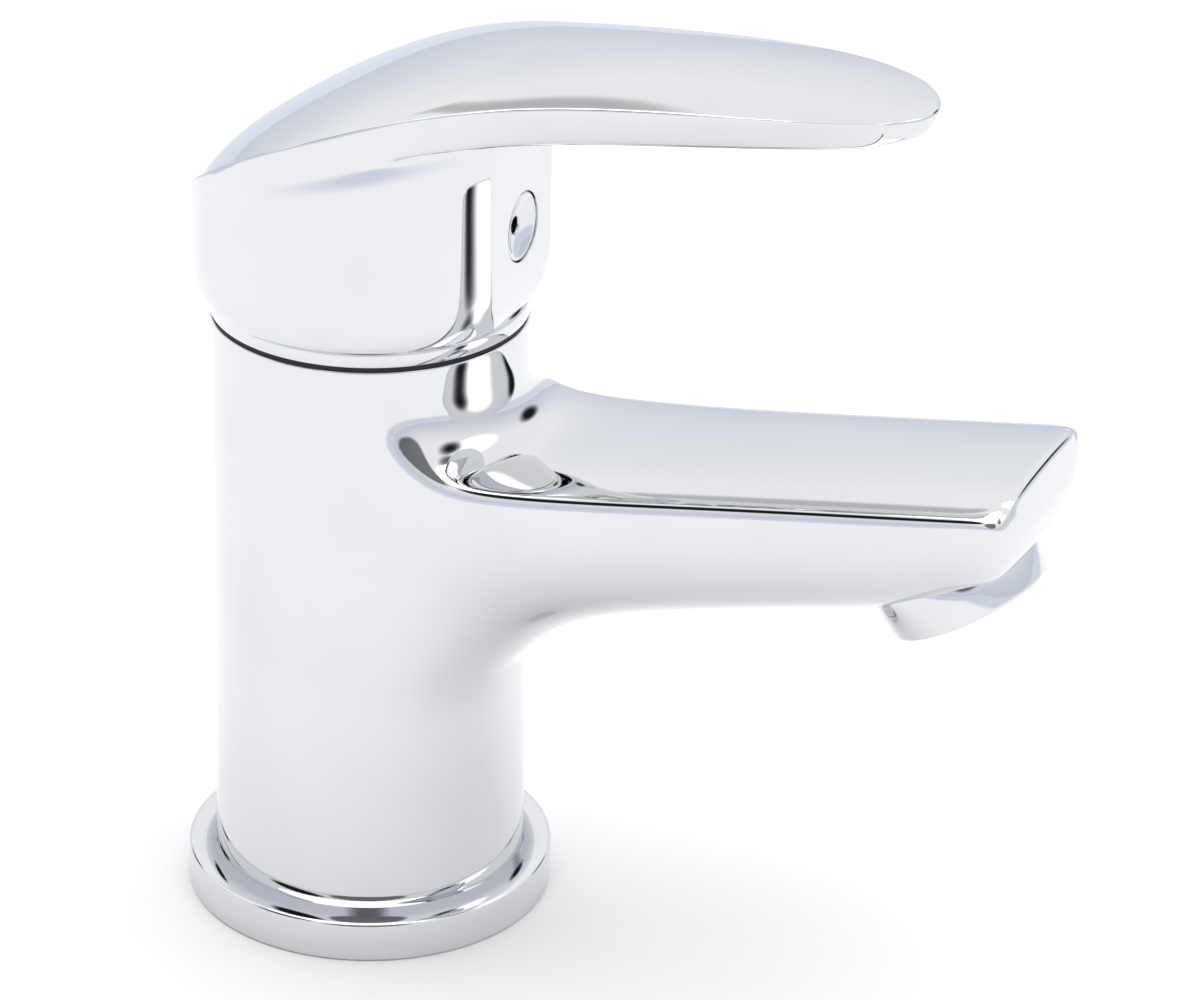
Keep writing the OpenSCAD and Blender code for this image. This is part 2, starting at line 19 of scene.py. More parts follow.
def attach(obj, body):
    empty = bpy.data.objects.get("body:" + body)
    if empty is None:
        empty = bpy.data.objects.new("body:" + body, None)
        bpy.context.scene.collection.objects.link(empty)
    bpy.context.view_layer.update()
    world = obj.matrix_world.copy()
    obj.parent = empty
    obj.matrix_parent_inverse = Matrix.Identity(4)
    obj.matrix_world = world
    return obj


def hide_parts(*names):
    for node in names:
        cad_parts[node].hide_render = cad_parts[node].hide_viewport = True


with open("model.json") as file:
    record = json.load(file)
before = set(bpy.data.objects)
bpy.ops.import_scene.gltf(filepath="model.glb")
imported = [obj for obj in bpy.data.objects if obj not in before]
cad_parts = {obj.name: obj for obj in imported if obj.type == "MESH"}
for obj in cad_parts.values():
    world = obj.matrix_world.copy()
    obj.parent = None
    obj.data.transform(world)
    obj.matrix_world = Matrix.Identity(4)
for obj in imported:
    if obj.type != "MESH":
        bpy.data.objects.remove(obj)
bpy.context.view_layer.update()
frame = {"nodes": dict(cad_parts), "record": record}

MM = 0.001

# %% [markdown]
# ## Camera
# A product shot like this is taken from a little above, with a long lens that
# keeps the column's sides nearly parallel. The camera stands beside the mixer,
# a little in front of it, and looks down 26 degrees. It could be placed by
# hand. Azimuth and elevation about a point on the object are used instead,
# because they are easier to reason about than three free coordinates.

# %% Camera
AZIMUTH, ELEVATION, ROLL = math.radians(23.24), math.radians(25.83), math.radians(1.34)
DISTANCE, ACROSS, UP = 700 * MM, 33.84 * MM, 63.41 * MM
FOCAL_LENGTH, SENSOR = 142.5, 36
NEAREST, FURTHEST = 0.01, 20

back = Vector((
    math.sin(AZIMUTH) * math.cos(ELEVATION),
    -math.cos(AZIMUTH) * math.cos(ELEVATION),
    math.sin(ELEVATION),
))
right = Vector((math.cos(AZIMUTH), math.sin(AZIMUTH), 0))
above = back.cross(right)
turned_right = right * math.cos(ROLL) + above * math.sin(ROLL)
turned_above = above * math.cos(ROLL) - right * math.sin(ROLL)

lens = bpy.data.cameras.new("studio_camera")
lens.lens, lens.sensor_width = FOCAL_LENGTH, SENSOR
lens.clip_start, lens.clip_end = NEAREST, FURTHEST
camera = bpy.data.objects.new("studio_camera", lens)
camera.matrix_world = Matrix.Translation(
    right * ACROSS + Vector((0, 0, UP)) + back * DISTANCE
) @ Matrix((turned_right, turned_above, back)).transposed().to_4x4()
bpy.context.scene.collection.objects.link(camera)
bpy.context.scene.camera = camera
print("camera at", [round(c, 3) for c in camera.location])

# %% [markdown]
# ## From a bmesh to a piece
# A bmesh is Blender's editable mesh in memory. `finished` turns one into an object: it merges doubled
# points, makes the faces point outwards, shades it smooth, gives it its material and, if asked, a
# subdivision modifier, hangs it on the empty of the body it rides on, and hides the CAD nodes it
# stands for.

# %% Finishing a piece
MERGE = 1e-7  # metres


def finished(bm, name, material, body, nodes, subdivide=0):
    bmesh.ops.remove_doubles(bm, verts=bm.verts, dist=MERGE)
    bmesh.ops.recalc_face_normals(bm, faces=bm.faces)
    for face in bm.faces:
        face.smooth = True
    mesh = bpy.data.meshes.new(name)
    bm.to_mesh(mesh)
    bm.free()
    mesh.materials.append(material)
    piece = bpy.data.objects.new(name, mesh)
    bpy.context.scene.collection.objects.link(piece)
    if subdivide:
        smoother = piece.modifiers.new("smooth surface", "SUBSURF")
        smoother.levels = smoother.render_levels = subdivide
    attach(piece, body)
    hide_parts(*nodes)
    print(f"{name}: {len(mesh.polygons)} faces before smoothing")


print("points closer than", MERGE / MM, "mm are merged")

# %% [markdown]
# ## Turned shapes
# The rings, the plug and the aerator are lathe work. `spin_up` does what a
# lathe does: it turns a profile of (radius, height) points round the Z axis,
# and can then move the result into place. `arc` rounds a profile's corner.

# %% Spin and arc
def spin_up(profile, steps=128, placed=Matrix.Identity(4)):
    bm = bmesh.new()
    points = [bm.verts.new((r * MM, 0, z * MM)) for r, z in profile]
    edges = [bm.edges.new(pair) for pair in zip(points, points[1:])]
    bmesh.ops.spin(
        bm, geom=points + edges, cent=(0, 0, 0), axis=(0, 0, 1),
        angle=math.tau, steps=steps, use_merge=True,
    )
    bmesh.ops.transform(bm, matrix=placed, verts=bm.verts)
    return bm


def arc(cx, cz, radius, start, end, steps=6):
    """Points on an arc of a profile, in degrees, for a rounded edge."""
    return [
        (cx + radius * math.cos(math.radians(a)), cz + radius * math.sin(math.radians(a)))
        for a in (start + (end - start) * i / steps for i in range(steps + 1))
    ]


print("a rounded corner takes", len(arc(0, 0, 1, 0, 90)), "points")

# %% [markdown]
# ## Materials
# A material is a tree of nodes that ends in a shader. The colours below are
# sRGB hex values, as in any paint program, and `linear` turns them into the
# linear light that the shader works in. `add` puts in one node with its
# settings and its links, so that each material reads as a short list.

# %% Colour and node helpers
def linear(code):
    channels = [int(code[i:i + 2], 16) / 255 for i in (1, 3, 5)]
    return tuple(
        c / 12.92 if c <= 0.04045 else ((c + 0.055) / 1.055) ** 2.4 for c in channels
    ) + (1.0,)


def add(tree, kind, settings=None, values=None, links=None):
    """Adds one node. settings are its own, values and links go by socket name or number."""
    node = tree.nodes.new(kind)
    for key, value in (settings or {}).items():
        setattr(node, key, value)
    for key, value in (values or {}).items():
        node.inputs[key].default_value = value
    for key, source in (links or {}).items():
        tree.links.new(source, node.inputs[key])
    return node


def started(name):
    material = bpy.data.materials.new(name)
    material.use_nodes = True
    tree = material.node_tree
    shader = tree.nodes["Principled BSDF"]
    place = add(tree, "ShaderNodeTexCoord").outputs["Object"]
    return material, tree, shader, place


def per_metre(feature_mm):
    """Noise scale that gives features of about this size in millimetres."""
    return 1000 / feature_mm


print("the hex grey 808080 is", round(linear("#808080")[0], 3), "of full light")

# %% [markdown]
# Every material below drives its colour between two close tones and its
# roughness and bump from noise, so those links are made by one function.

# %% Linking a pattern to the shader
RGBA = {"data_type": "RGBA"}


def link_looks(tree, shader, colours, mottle, dull, height, strength, depth_mm):
    """Links two tones mixed by mottle, a roughness, and a bump of a real depth."""
    bump = add(tree, "ShaderNodeBump", values={"Strength": strength, "Distance": depth_mm * MM},
               links={"Height": height.outputs["Fac"]})
    tone = add(tree, "ShaderNodeMix", RGBA, {"A": linear(colours[0]), "B": linear(colours[1])},
               {"Factor": mottle.outputs["Fac"]})
    tree.links.new(tone.outputs["Result"], shader.inputs["Base Color"])
    tree.links.new(dull.outputs["Result"], shader.inputs["Roughness"])
    tree.links.new(bump.outputs["Normal"], shader.inputs["Normal"])


print("colour, roughness and bump are linked in one place")

# %% [markdown]
# ## Chrome
# The castings are brass or zinc, polished and plated with nickel and then a
# fraction of a micrometre of chromium. The plate is a mirror that gives back
# about two thirds of the light, a little bluer than silver. What tells the eye
# that it is plate and not glass is the polish: the buffing wheel leaves waves
# of a few hundredths of a millimetre a few centimetres apart, and wiping
# leaves a faint haze. Both are far too small to see directly, and show only in
# how reflections bend and soften. Plated plastic is a little darker, and its
# waves are closer.

# %% Chrome
HAZE_MM = 18                # size of the cloudy marks that wiping leaves
HAZE_FROM, HAZE_TO = 0.35, 0.75
CLEAN, HAZED = 0.018, 0.05  # roughness of the plate


def chrome_plate(name, tint, wave_mm, wave_height_mm):
    material, tree, shader, place = started(name)
    shader.inputs["Metallic"].default_value = 1.0
    haze = add(tree, "ShaderNodeTexNoise", values={"Scale": per_metre(HAZE_MM), "Detail": 4.0},
               links={"Vector": place})
    wiped = add(tree, "ShaderNodeMapRange",
                values={"From Min": HAZE_FROM, "From Max": HAZE_TO, "To Min": CLEAN, "To Max": HAZED},
                links={"Value": haze.outputs["Fac"]})
    waves = add(tree, "ShaderNodeTexNoise", values={"Scale": per_metre(wave_mm), "Detail": 1.0},
                links={"Vector": place})
    link_looks(tree, shader, tint, haze, wiped, waves, 1.0, wave_height_mm)
    return material


CHROME_ON_BRASS = chrome_plate("chrome plate on brass", ("#D8D9DC", "#E0E1E3"), 30, 0.02)
CHROME_ON_ZINC = chrome_plate("chrome plate on zinc alloy", ("#D8D9DC", "#E0E1E3"), 26, 0.02)
CHROME_ON_ABS = chrome_plate("chrome plate on ABS", ("#D4D5D9", "#DCDDE0"), 12, 0.01)
print("made:", CHROME_ON_BRASS.name, "/", CHROME_ON_ZINC.name, "/", CHROME_ON_ABS.name)

# %% [markdown]
# ## Metals that aren't plated
# Turned brass and steel keep the rings that the tool cut, a few tenths of a
# millimetre apart, round the axis they were turned on. A wave texture in
# rings mode draws them into the bump. Grooves as fine as the real ones
# wouldn't show, so they are drawn about six times as far apart: the groove's
# size is set to one radian of the wave, where a whole wave is 2 pi. A blotchy
# noise, from handling and light tarnish, sets the tone and the roughness.

# %% Turned metal
WAVE_RADIANS = 20          # phase of the wave texture over one metre at scale 1
BLOTCH_MM = 6
GROOVE_MM = 0.02           # depth of the cut
TARNISHED = 0.12           # how much rougher the tarnished parts are


def turned_metal(name, colours, groove_mm, roughness):
    material, tree, shader, place = started(name)
    shader.inputs["Metallic"].default_value = 1.0
    rings = add(tree, "ShaderNodeTexWave", {"wave_type": "RINGS", "rings_direction": "Z"},
                {"Scale": per_metre(groove_mm) / WAVE_RADIANS, "Distortion": 0.3, "Detail": 2.0},
                {"Vector": place})
    blotch = add(tree, "ShaderNodeTexNoise", values={"Scale": per_metre(BLOTCH_MM), "Detail": 3.0},
                 links={"Vector": place})
    dull = add(tree, "ShaderNodeMapRange",
               values={"To Min": roughness, "To Max": roughness + TARNISHED},
               links={"Value": blotch.outputs["Fac"]})
    link_looks(tree, shader, colours, blotch, dull, rings, 0.4, GROOVE_MM)
    return material


BRASS = turned_metal("turned brass", ("#C9A052", "#DDB96C"), 0.4, 0.22)
STAINLESS = turned_metal("stainless steel", ("#A7A9AC", "#C0C2C4"), 0.3, 0.25)
BLACK_OXIDE = turned_metal("black oxide steel", ("#2B2C30", "#3C3D42"), 0.5, 0.38)
print("made:", BRASS.name, "/", STAINLESS.name, "/", BLACK_OXIDE.name)

# %% [markdown]
# ## Mouldings and ceramic
# The cartridge is moulded in acetal, a hard waxy plastic that light enters a
# little before it scatters back. Moulded faces carry the spark-eroded texture
# of the mould, about a quarter of a millimetre across. The seals are EPDM
# rubber, nearly black and dull, and the discs are lapped alumina, hard and
# pale with a faint grain. One function makes all of them, since they differ
# only in numbers.

# %% Mouldings
FLOW_MM = 9                # width of the faint streaks where the plastic flowed
UNEVEN = 0.06              # how far the roughness wanders each way
LIGHT_DEPTH_MM = 1.5       # how far light goes in before it scatters back
RED_LASTS = (1.0, 0.8, 0.6)


def moulded(name, colours, grain_mm, depth_mm, roughness, scatter, ior):
    material, tree, shader, place = started(name)
    shader.inputs["IOR"].default_value = ior
    if scatter:
        shader.inputs["Subsurface Weight"].default_value = scatter
        shader.inputs["Subsurface Scale"].default_value = LIGHT_DEPTH_MM * MM
        shader.inputs["Subsurface Radius"].default_value = RED_LASTS
    flow = add(tree, "ShaderNodeTexNoise", values={"Scale": per_metre(FLOW_MM), "Detail": 2.0},
               links={"Vector": place})
    grain = add(tree, "ShaderNodeTexNoise", values={"Scale": per_metre(grain_mm), "Detail": 5.0},
                links={"Vector": place})
    dull = add(tree, "ShaderNodeMapRange",
               values={"To Min": roughness - UNEVEN, "To Max": roughness + UNEVEN},
               links={"Value": grain.outputs["Fac"]})
    link_looks(tree, shader, colours, flow, dull, grain, 0.5, depth_mm)
    return material


WHITE_ACETAL = moulded("white acetal", ("#E6E5DF", "#EFEEE9"), 0.25, 0.02, 0.42, 0.2, 1.48)
BLUE_ACETAL = moulded("blue acetal", ("#34578C", "#3C6299"), 0.25, 0.02, 0.42, 0.1, 1.48)
RED_ACETAL = moulded("red acetal", ("#A51F1B", "#B42A24"), 0.25, 0.02, 0.42, 0.1, 1.48)
RUBBER = moulded("EPDM rubber", ("#17171A", "#202024"), 0.4, 0.04, 0.62, 0, 1.52)
ALUMINA = moulded("lapped alumina", ("#EDEBE4", "#F5F3EE"), 0.15, 0.005, 0.2, 0.15, 1.76)
print("made:", WHITE_ACETAL.name, "/", BLUE_ACETAL.name, "/", RED_ACETAL.name, "/", RUBBER.name,
      "/", ALUMINA.name)

# %% [markdown]
# ## Dressing the CAD nodes
# Nodes inside the casting keep their exact CAD shape and take the finish that
# the record names for them. A node's material slots are filled one by one.

# %% Dress the nodes
FINISHES = {
    "chromed_brass": CHROME_ON_BRASS, "chromed_zinc": CHROME_ON_ZINC,
    "chromed_plastic": CHROME_ON_ABS, "brass": BRASS, "steel": STAINLESS,
    "dark_steel": BLACK_OXIDE, "rubber": RUBBER, "ceramic": ALUMINA,
    "white_plastic": WHITE_ACETAL, "blue_plastic": BLUE_ACETAL, "red_plastic": RED_ACETAL,
}
slot_of = {part["node"]: part["material_slot"] for part in frame["record"]["subparts"]}
for node, piece in frame["nodes"].items():
    for i in range(len(piece.data.materials)):
        piece.data.materials[i] = FINISHES[slot_of[node]]
print(len(frame["nodes"]), "CAD nodes dressed")

# %% [markdown]
# ## Cages
# On the real mixer the column and the spout are one brass casting, ground and
# polished until the spout flows out of the column with no line. A boolean
# union of a cylinder and a bar would leave a hard seam. A subdivision surface
# is the better tool: a coarse cage of four-sided faces whose smooth limit is
# curved everywhere. A cage starts as a circle of points, and each new row is
# extruded from the last one and moved into place. A crease keeps an edge
# crisp. These few tools make the column, the spout and the handle.

# %% Cage tools
def between(a, b):
    return next(e for e in a.link_edges if e.other_vert(a) is b)


def edges_along(line, closed=True):
    """The edges that join a line of points, and its two ends if it is closed."""
    pairs = zip(line[-1:] + line[:-1], line) if closed else zip(line, line[1:])
    return [between(a, b) for a, b in pairs]


def next_row(bm, line, points, closed=True):
    """Extrudes a line of edges and moves the new points, given in millimetres."""
    made = bmesh.ops.extrude_edge_only(bm, edges=edges_along(line, closed))["geom"]
    fresh = [v for v in made if isinstance(v, bmesh.types.BMVert)]
    ordered = [min(fresh, key=lambda v: (v.co - old.co).length_squared) for old in line]
    for vert, point in zip(ordered, points):
        vert.co = Vector(point) * MM
    return ordered


def crease(bm, line, amount, closed=True):
    layers = bm.edges.layers.float
    layer = layers.get("crease_edge") or layers.new("crease_edge")
    for edge in edges_along(line, closed):
        edge[layer] = amount


def first_ring(count, points):
    """A new bmesh with one open ring, its points in order from the +X side."""
    bm = bmesh.new()
    bmesh.ops.create_circle(bm, cap_ends=False, radius=1, segments=count)
    ring = sorted(bm.verts, key=lambda v: (math.atan2(v.co.y, v.co.x) + 0.01) % math.tau)
    for vert, point in zip(ring, points):
        vert.co = Vector(point) * MM
    return bm, ring


# %% [markdown]
# A smooth surface lies inside its cage. For a ring of n points the radius
# shrinks by a known factor, so cages are drawn larger by its inverse.

# %% Growing a ring
def grow(n):
    return 3 / (2 + math.cos(math.tau / n))


ROUND = 24  # points in a ring of the column, and in a section of the spout


def ring_points(radius, height):
    """A ring of the column's cage whose smooth surface has this radius."""
    turns = [math.tau * i / ROUND for i in range(ROUND)]
    return [(radius * math.cos(a), radius * math.sin(a), height) for a in turns]


print("a ring of", ROUND, "points is drawn", round((grow(ROUND) - 1) * 100, 2), "% larger")

# %% [markdown]
# ## Column
# The column is a plain turned tube with a pocket for the cartridge at its top
# and a hollow foot. Its cage is a stack of rings. The rings from 41 to 84 mm
# are placed where the spout will spring: the faces between them, four each
# side of the middle, are taken out to leave a hole for it to grow from.

# %% Column cage
COLUMN_R, COLUMN_TOP, FOOT_Z = 23.3, 93.5, 2.6
HOLE_ROWS = (41.0, 52.0, 62.0, 72.0, 84.0)
RING_HEIGHTS = (3.4, 12, 24, 33) + HOLE_ROWS + (89.0, 92.6)
HOLE_HALF = 4       # faces each side of the middle that the hole takes out
EDGE_ROUND = 0.1    # how far the rim is drawn in
# radius, height and crease of the pocket's rings, down to the cartridge's seat
POCKET = ((22.4, 93.5, 0.5), (19.1, 93.5, 1), (19.1, 84, 1), (17.7, 84, 1), (17.7, 60, 1))
FOOT_HOLLOW = ((20.3, 2.6), (20.3, 12))
END_R = 6           # the last ring before a flat end


def close_flat(bm, ring, height):
    bmesh.ops.contextual_create(bm, geom=edges_along(next_row(bm, ring, ring_points(END_R, height))))


def column_cage():
    drawn = COLUMN_R * grow(ROUND)
    bm, foot = first_ring(ROUND, ring_points(drawn, FOOT_Z))
    rows, ring = {}, foot
    for z in RING_HEIGHTS:
        ring = rows[z] = next_row(bm, ring, ring_points(drawn, z))
    rim = inner = next_row(bm, ring, ring_points(drawn - EDGE_ROUND, COLUMN_TOP))
    for radius, z, hard in POCKET:
        inner = next_row(bm, inner, ring_points(radius * grow(ROUND), z))
        crease(bm, inner, hard)
    crease(bm, rim, 0.5)
    close_flat(bm, inner, POCKET[-1][1])
    crease(bm, foot, 0.8)
    for radius, z in FOOT_HOLLOW:
        foot = next_row(bm, foot, ring_points(radius * grow(ROUND), z))
        crease(bm, foot, 1)
    close_flat(bm, foot, FOOT_HOLLOW[-1][1])
    return bm, rows


def open_for_spout(bm, rows):
    """Takes the hole's faces out and returns its edge as a line of points."""
    front = [i % ROUND for i in range(HOLE_HALF, -HOLE_HALF - 1, -1)]
    low, high = rows[HOLE_ROWS[0]], rows[HOLE_ROWS[-1]]
    edge = [high[i] for i in front]
    edge += [rows[z][front[-1]] for z in HOLE_ROWS[-2:0:-1]]
    edge += [low[i] for i in reversed(front)]
    edge += [rows[z][front[0]] for z in HOLE_ROWS[1:-1]]
    inside = {rows[z][i] for z in HOLE_ROWS for i in front}
    doomed = [f for f in bm.faces if all(v in inside for v in f.verts)]
    bmesh.ops.delete(bm, geom=doomed, context="FACES")
    return edge


casting, column_rows = column_cage()
spout_edge = open_for_spout(casting, column_rows)
print("column cage:", len(column_rows) + 2, "rings; the spout springs from", len(spout_edge), "points")

# %% [markdown]
# ## Spout
# The spout is a deep trough shape: a nearly flat top with rolled edges that
# climbs 9 degrees, and a full belly that thins towards the tip. Each section
# has 24 points, nine across the top and fifteen round the belly, to match the
# hole's edge. The first stations are close together and bow round the column,
# because that is where the real casting's fillets turn.

# %% Spout sections
EDGE_AT_0, RISE = 72.6, math.tan(math.radians(9))
OUTLET_X, OUTLET_Z, LEAN = 91.2, 71.4, math.radians(30)
TIP_HALF_WIDTH, FLARE, FLARE_FROM, FLARE_LENGTH = 17.8, 2.2, 30, 18
TIP_DEPTH, KEEL_RISE = 18.75, math.tan(math.radians(13.2))
# share of the half width, and rise above the edge, across the top
TOP_LINE = ((1, 0), (0.93, 0.65), (0.8, 1.25), (0.5, 1.95), (0, 2.15),
            (-0.5, 1.95), (-0.8, 1.25), (-0.93, 0.65), (-1, 0))
TOP_SINK = 0.4                    # the cage's top lies this far under the edge line
ACROSS_TOP = len(TOP_LINE)
BELLY_STEPS = ROUND - ACROSS_TOP + 1
BELLY_WIDER, BELLY_DEEPER = 1.02, 1.04  # the belly is drawn larger, as rings are
SQUARE_SIDES, SQUARE_KEEL = 0.9, 0.85   # under 1, the belly is fuller than an ellipse


def edge_height(x):
    return EDGE_AT_0 + x * RISE


def half_width(x):
    return TIP_HALF_WIDTH + FLARE * math.exp((FLARE_FROM - x) / FLARE_LENGTH)


def keel_height(x):
    return edge_height(OUTLET_X) - TIP_DEPTH - (OUTLET_X - x) * KEEL_RISE


def spout_section(x, width=1.0, depth=1.0, lift=0.0, bow=0.0):
    w, top = half_width(x) * width, edge_height(x) + lift - TOP_SINK
    points = [(x - bow * t * t, w * t, top + rolled) for t, rolled in TOP_LINE]
    for j in range(1, BELLY_STEPS):
        a = math.pi * (1 + j / BELLY_STEPS)
        y = math.copysign(abs(math.cos(a)) ** SQUARE_SIDES, math.cos(a)) * w * BELLY_WIDER
        drop = (edge_height(x) - keel_height(x)) * depth * abs(math.sin(a)) ** SQUARE_KEEL
        points.append((x - bow * (y / w) ** 2, y, edge_height(x) - drop * BELLY_DEEPER))
    return points


print("spout half width at 30 and 90 mm:", [round(half_width(x), 1) for x in (30, 90)])

# %% Spout cage
# x, width, depth, lift of the top, and bow round the column
SPOUT_STATIONS = (
    (26.5, 0.99, 1.32, 0.9, 7), (32, 0.99, 1.15, 0, 4), (39, 1.0, 1.05, 0, 1.5),
    (48, 1.0, 1.01, 0, 0), (60, 1.0, 1.0, 0, 0), (74, 1.0, 1.0, 0, 0), (88, 1.0, 1.0, 0, 0),
)
section = spout_edge
for station in SPOUT_STATIONS:
    section = next_row(casting, section, spout_section(*station))
print("spout cage:", len(SPOUT_STATIONS), "sections up to", SPOUT_STATIONS[-1][0], "mm")

# %% [markdown]
# ## Nose
# The spout ends in a flat outlet face that leans 30 degrees, with the aerator
# in it, and a nose that swells forward between the top edge and that face. The
# last sections lean over until they stand on the outlet face, and the nose is
# filled by extruding the top edge down in rows that meet the sides. The edge
# over the nose is creased in its middle and soft at its corners.

# %% Nose
# x of the top and of the keel, and the share of the belly's width that is left
NOSE_SECTIONS = ((96, 90, 0.95), (103.1, 99, 0.9))
SLIDE = 1.5                       # how late the belly slides back
NOSE_ROWS = 4
SWELL, SWELL_BASE, SWELL_EARLY = 1.8, 0.3, 1.15
SWELL_SHAPE = 5                   # higher keeps the swell even until close to the sides
NOSE_EDGE = (0.1, 0.3, 0.6, 0.7, 0.7, 0.6, 0.3, 0.1)
SOFT = 0.1                        # crease round the rest of the last section


def outlet_plane(x):
    return OUTLET_Z + (x - OUTLET_X) * math.tan(LEAN)


def leaning_section(top_x, keel_x, narrow):
    """A spout section whose belly has slid back to the outlet face."""
    points = []
    for i, (x, y, z) in enumerate(spout_section(top_x)):
        if i >= ACROSS_TOP:
            s = abs(math.sin(math.pi * (1 + (i - ACROSS_TOP + 1) / BELLY_STEPS)))
            x = top_x + (keel_x - top_x) * s ** SLIDE
            drop = (edge_height(x) - keel_height(x)) * s ** SQUARE_KEEL
            z = max(edge_height(x) - drop, outlet_plane(x))
            y *= 1 - (1 - narrow) * s
        points.append((x, y, z))
    return points


def nose_row(left, right, t):
    """A row across the nose between two side points. t runs from 0 to 1 downwards."""
    swell = SWELL * math.sin(math.pi * min(1, t * SWELL_EARLY)) + SWELL_BASE
    points = []
    for i in range(ACROSS_TOP):
        u = i / (ACROSS_TOP - 1)
        ahead = swell * (1 - abs(2 * u - 1) ** SWELL_SHAPE)
        points.append(left.lerp(right, u) + Vector((ahead, 0, 0)))
    return points


for nose_section in NOSE_SECTIONS:
    section = next_row(casting, section, leaning_section(*nose_section))
crease(casting, section, SOFT)
for pair, hard in zip(zip(section, section[1:ACROSS_TOP]), NOSE_EDGE):
    crease(casting, list(pair), hard, closed=False)
chain = section[:ACROSS_TOP]
for row in range(1, NOSE_ROWS + 1):
    left, right = section[-row], section[ACROSS_TOP - 1 + row]
    points = nose_row(left.co / MM, right.co / MM, row / NOSE_ROWS)
    if row == NOSE_ROWS:
        points = [section[-NOSE_ROWS - i].co / MM for i in range(ACROSS_TOP)]
    chain = next_row(casting, chain, points, closed=False)
print("nose:", NOSE_ROWS, "rows of", len(NOSE_EDGE), "faces")

# %% [markdown]
# The cage is complete, so it becomes one piece: `finished` merges the nose's
# last row with the sides that it meets, and three levels of subdivision make
# the surface smooth enough for a mirror.

# %% Column and spout skin
SMOOTH = 3
finished(casting, "column_and_spout", CHROME_ON_BRASS, "body", ["body"], SMOOTH)

# %% [markdown]
# ## Handle
# The handle is a zinc casting: a skirt, round but for a flat at the front,
# under a long lens that starts as the skirt's lid and runs forward as the
# lever. The lid's edge is crisp at the back and sides and melts into the lever
# further on. It could be two pieces joined, but polishing leaves no line, so
# one cage makes all of it. The skirt's rings rise with the slope of the lid,
# the front of the top ring is opened, and that hole's edge is extruded forward
# into the lever, as it was for the spout.

# %% Lines of the lens
SEGMENTS, MIDDLE = 32, 6  # the lever springs from 6 segments each side of the middle
ACROSS = 2 * MIDDLE + 1
SKIRT_R, LENS_R, FLAT_X = 26.0, 26.15, 24.0
CREST_Z, CREST_X, CROWN, LEVER_TIP = 140.7, 60.0, 2.4, 84.9
SLOPE, REAR_FALL = 0.00275, 7.9
CROWN_SHAPE = 2.2         # higher gives the lens a flatter middle
THIN_FROM, THIN_OVER = 50, 35
LEVER_HALF_WIDTH, WIDE_REACH, TAPER_FROM, TIP_SHAPE = 15.2, 22, 40, 3.2


def crest_height(x):
    """Middle line of the lens, level at its crest and falling faster to the back."""
    u = CREST_X - x
    fall = REAR_FALL * (u / (CREST_X + SKIRT_R)) ** 6 if u > 0 else 0
    return CREST_Z - SLOPE * u * u - fall


def crown_at(x):
    return CROWN * (1 if x < THIN_FROM else 1 - 0.9 * (x - THIN_FROM) / THIN_OVER)


def lens_half_width(x):
    t = max(0, (x - TAPER_FROM) / (LEVER_TIP - TAPER_FROM))
    wide = LEVER_HALF_WIDTH + (LENS_R - LEVER_HALF_WIDTH) / (1 + (x / WIDE_REACH) ** 2)
    return wide * math.sqrt(max(0, 1 - t ** TIP_SHAPE))


def across(k):
    """Place of a point across the lens, from 1 to -1, closer together at the sides."""
    return math.sin(math.pi / 2 * (1 - k / MIDDLE))


print("lever half width at 20, 40, 60 and 80 mm:",
      [round(lens_half_width(x), 1) for x in (20, 40, 60, 80)])

# %% [markdown]
# ## Skirt
# The skirt's wall widens a little above its lower edge, then rises straight to
# the lens. Its upper rings share out the wall's height, so they tilt with the
# lid. The lens stands over the wall with an edge that starts from nothing at
# the back, where lid and wall meet in a crisp corner.

# %% Skirt cage
FLAT_HALF = 2             # points each side of the middle that lie on the flat
LOWER_EDGE = (24.6, 97.0)
LOWER_WALL = ((25.15, 98.0), (25.8, 100.6), (26.0, 104.9))
WALL_FROM = LOWER_WALL[-1][1]
WALL_SHARES = (0.191, 0.385, 0.68)
BACK_CROWN, CROWN_REACH = 0.1, 13   # the rim rises to the crest line at the back
EDGE_LENGTH = 34                    # over which the lens's edge grows, from the back
UNDER_IN, UNDER_IN_MORE = 0.1, 0.45
UNDER_DROP, UNDER_DROP_MORE = 1.1, 4.4


def skirt_point(i, radius, height):
    """A point of a skirt ring, pulled back to the flat at the front."""
    a = math.tau * i / SEGMENTS
    x, y = radius * math.cos(a), radius * math.sin(a)
    if i <= FLAT_HALF or i >= SEGMENTS - FLAT_HALF:
        flat = min(FLAT_X, radius * math.cos(math.tau * FLAT_HALF / SEGMENTS))
        x, y = flat, flat * math.tan(a)
    return x, y, height


def skirt_row(radius, height):
    return [skirt_point(i, radius * grow(SEGMENTS), height) for i in range(SEGMENTS)]


def tilted_row(kind):
    """A ring that tilts with the lid: a share of the wall, or the lens's underside or rim."""
    points = []
    for i, (x, y, _) in enumerate(skirt_row(SKIRT_R, 0)):
        rim = crest_height(x) - CROWN * (1 if x > 0 else min(1, BACK_CROWN + abs(y) / CROWN_REACH))
        ahead = min(1, (x + SKIRT_R) / EDGE_LENGTH)
        if kind == "rim":
            x, y, z = skirt_point(i, LENS_R * grow(SEGMENTS), rim)
        elif kind == "under":
            inset = UNDER_IN + UNDER_IN_MORE * ahead
            z = rim - UNDER_DROP - UNDER_DROP_MORE * ahead
            x, y, z = skirt_point(i, (SKIRT_R - inset) * grow(SEGMENTS), z)
        else:
            z = WALL_FROM + (rim - WALL_FROM) * kind
        points.append((x, y, z))
    return points


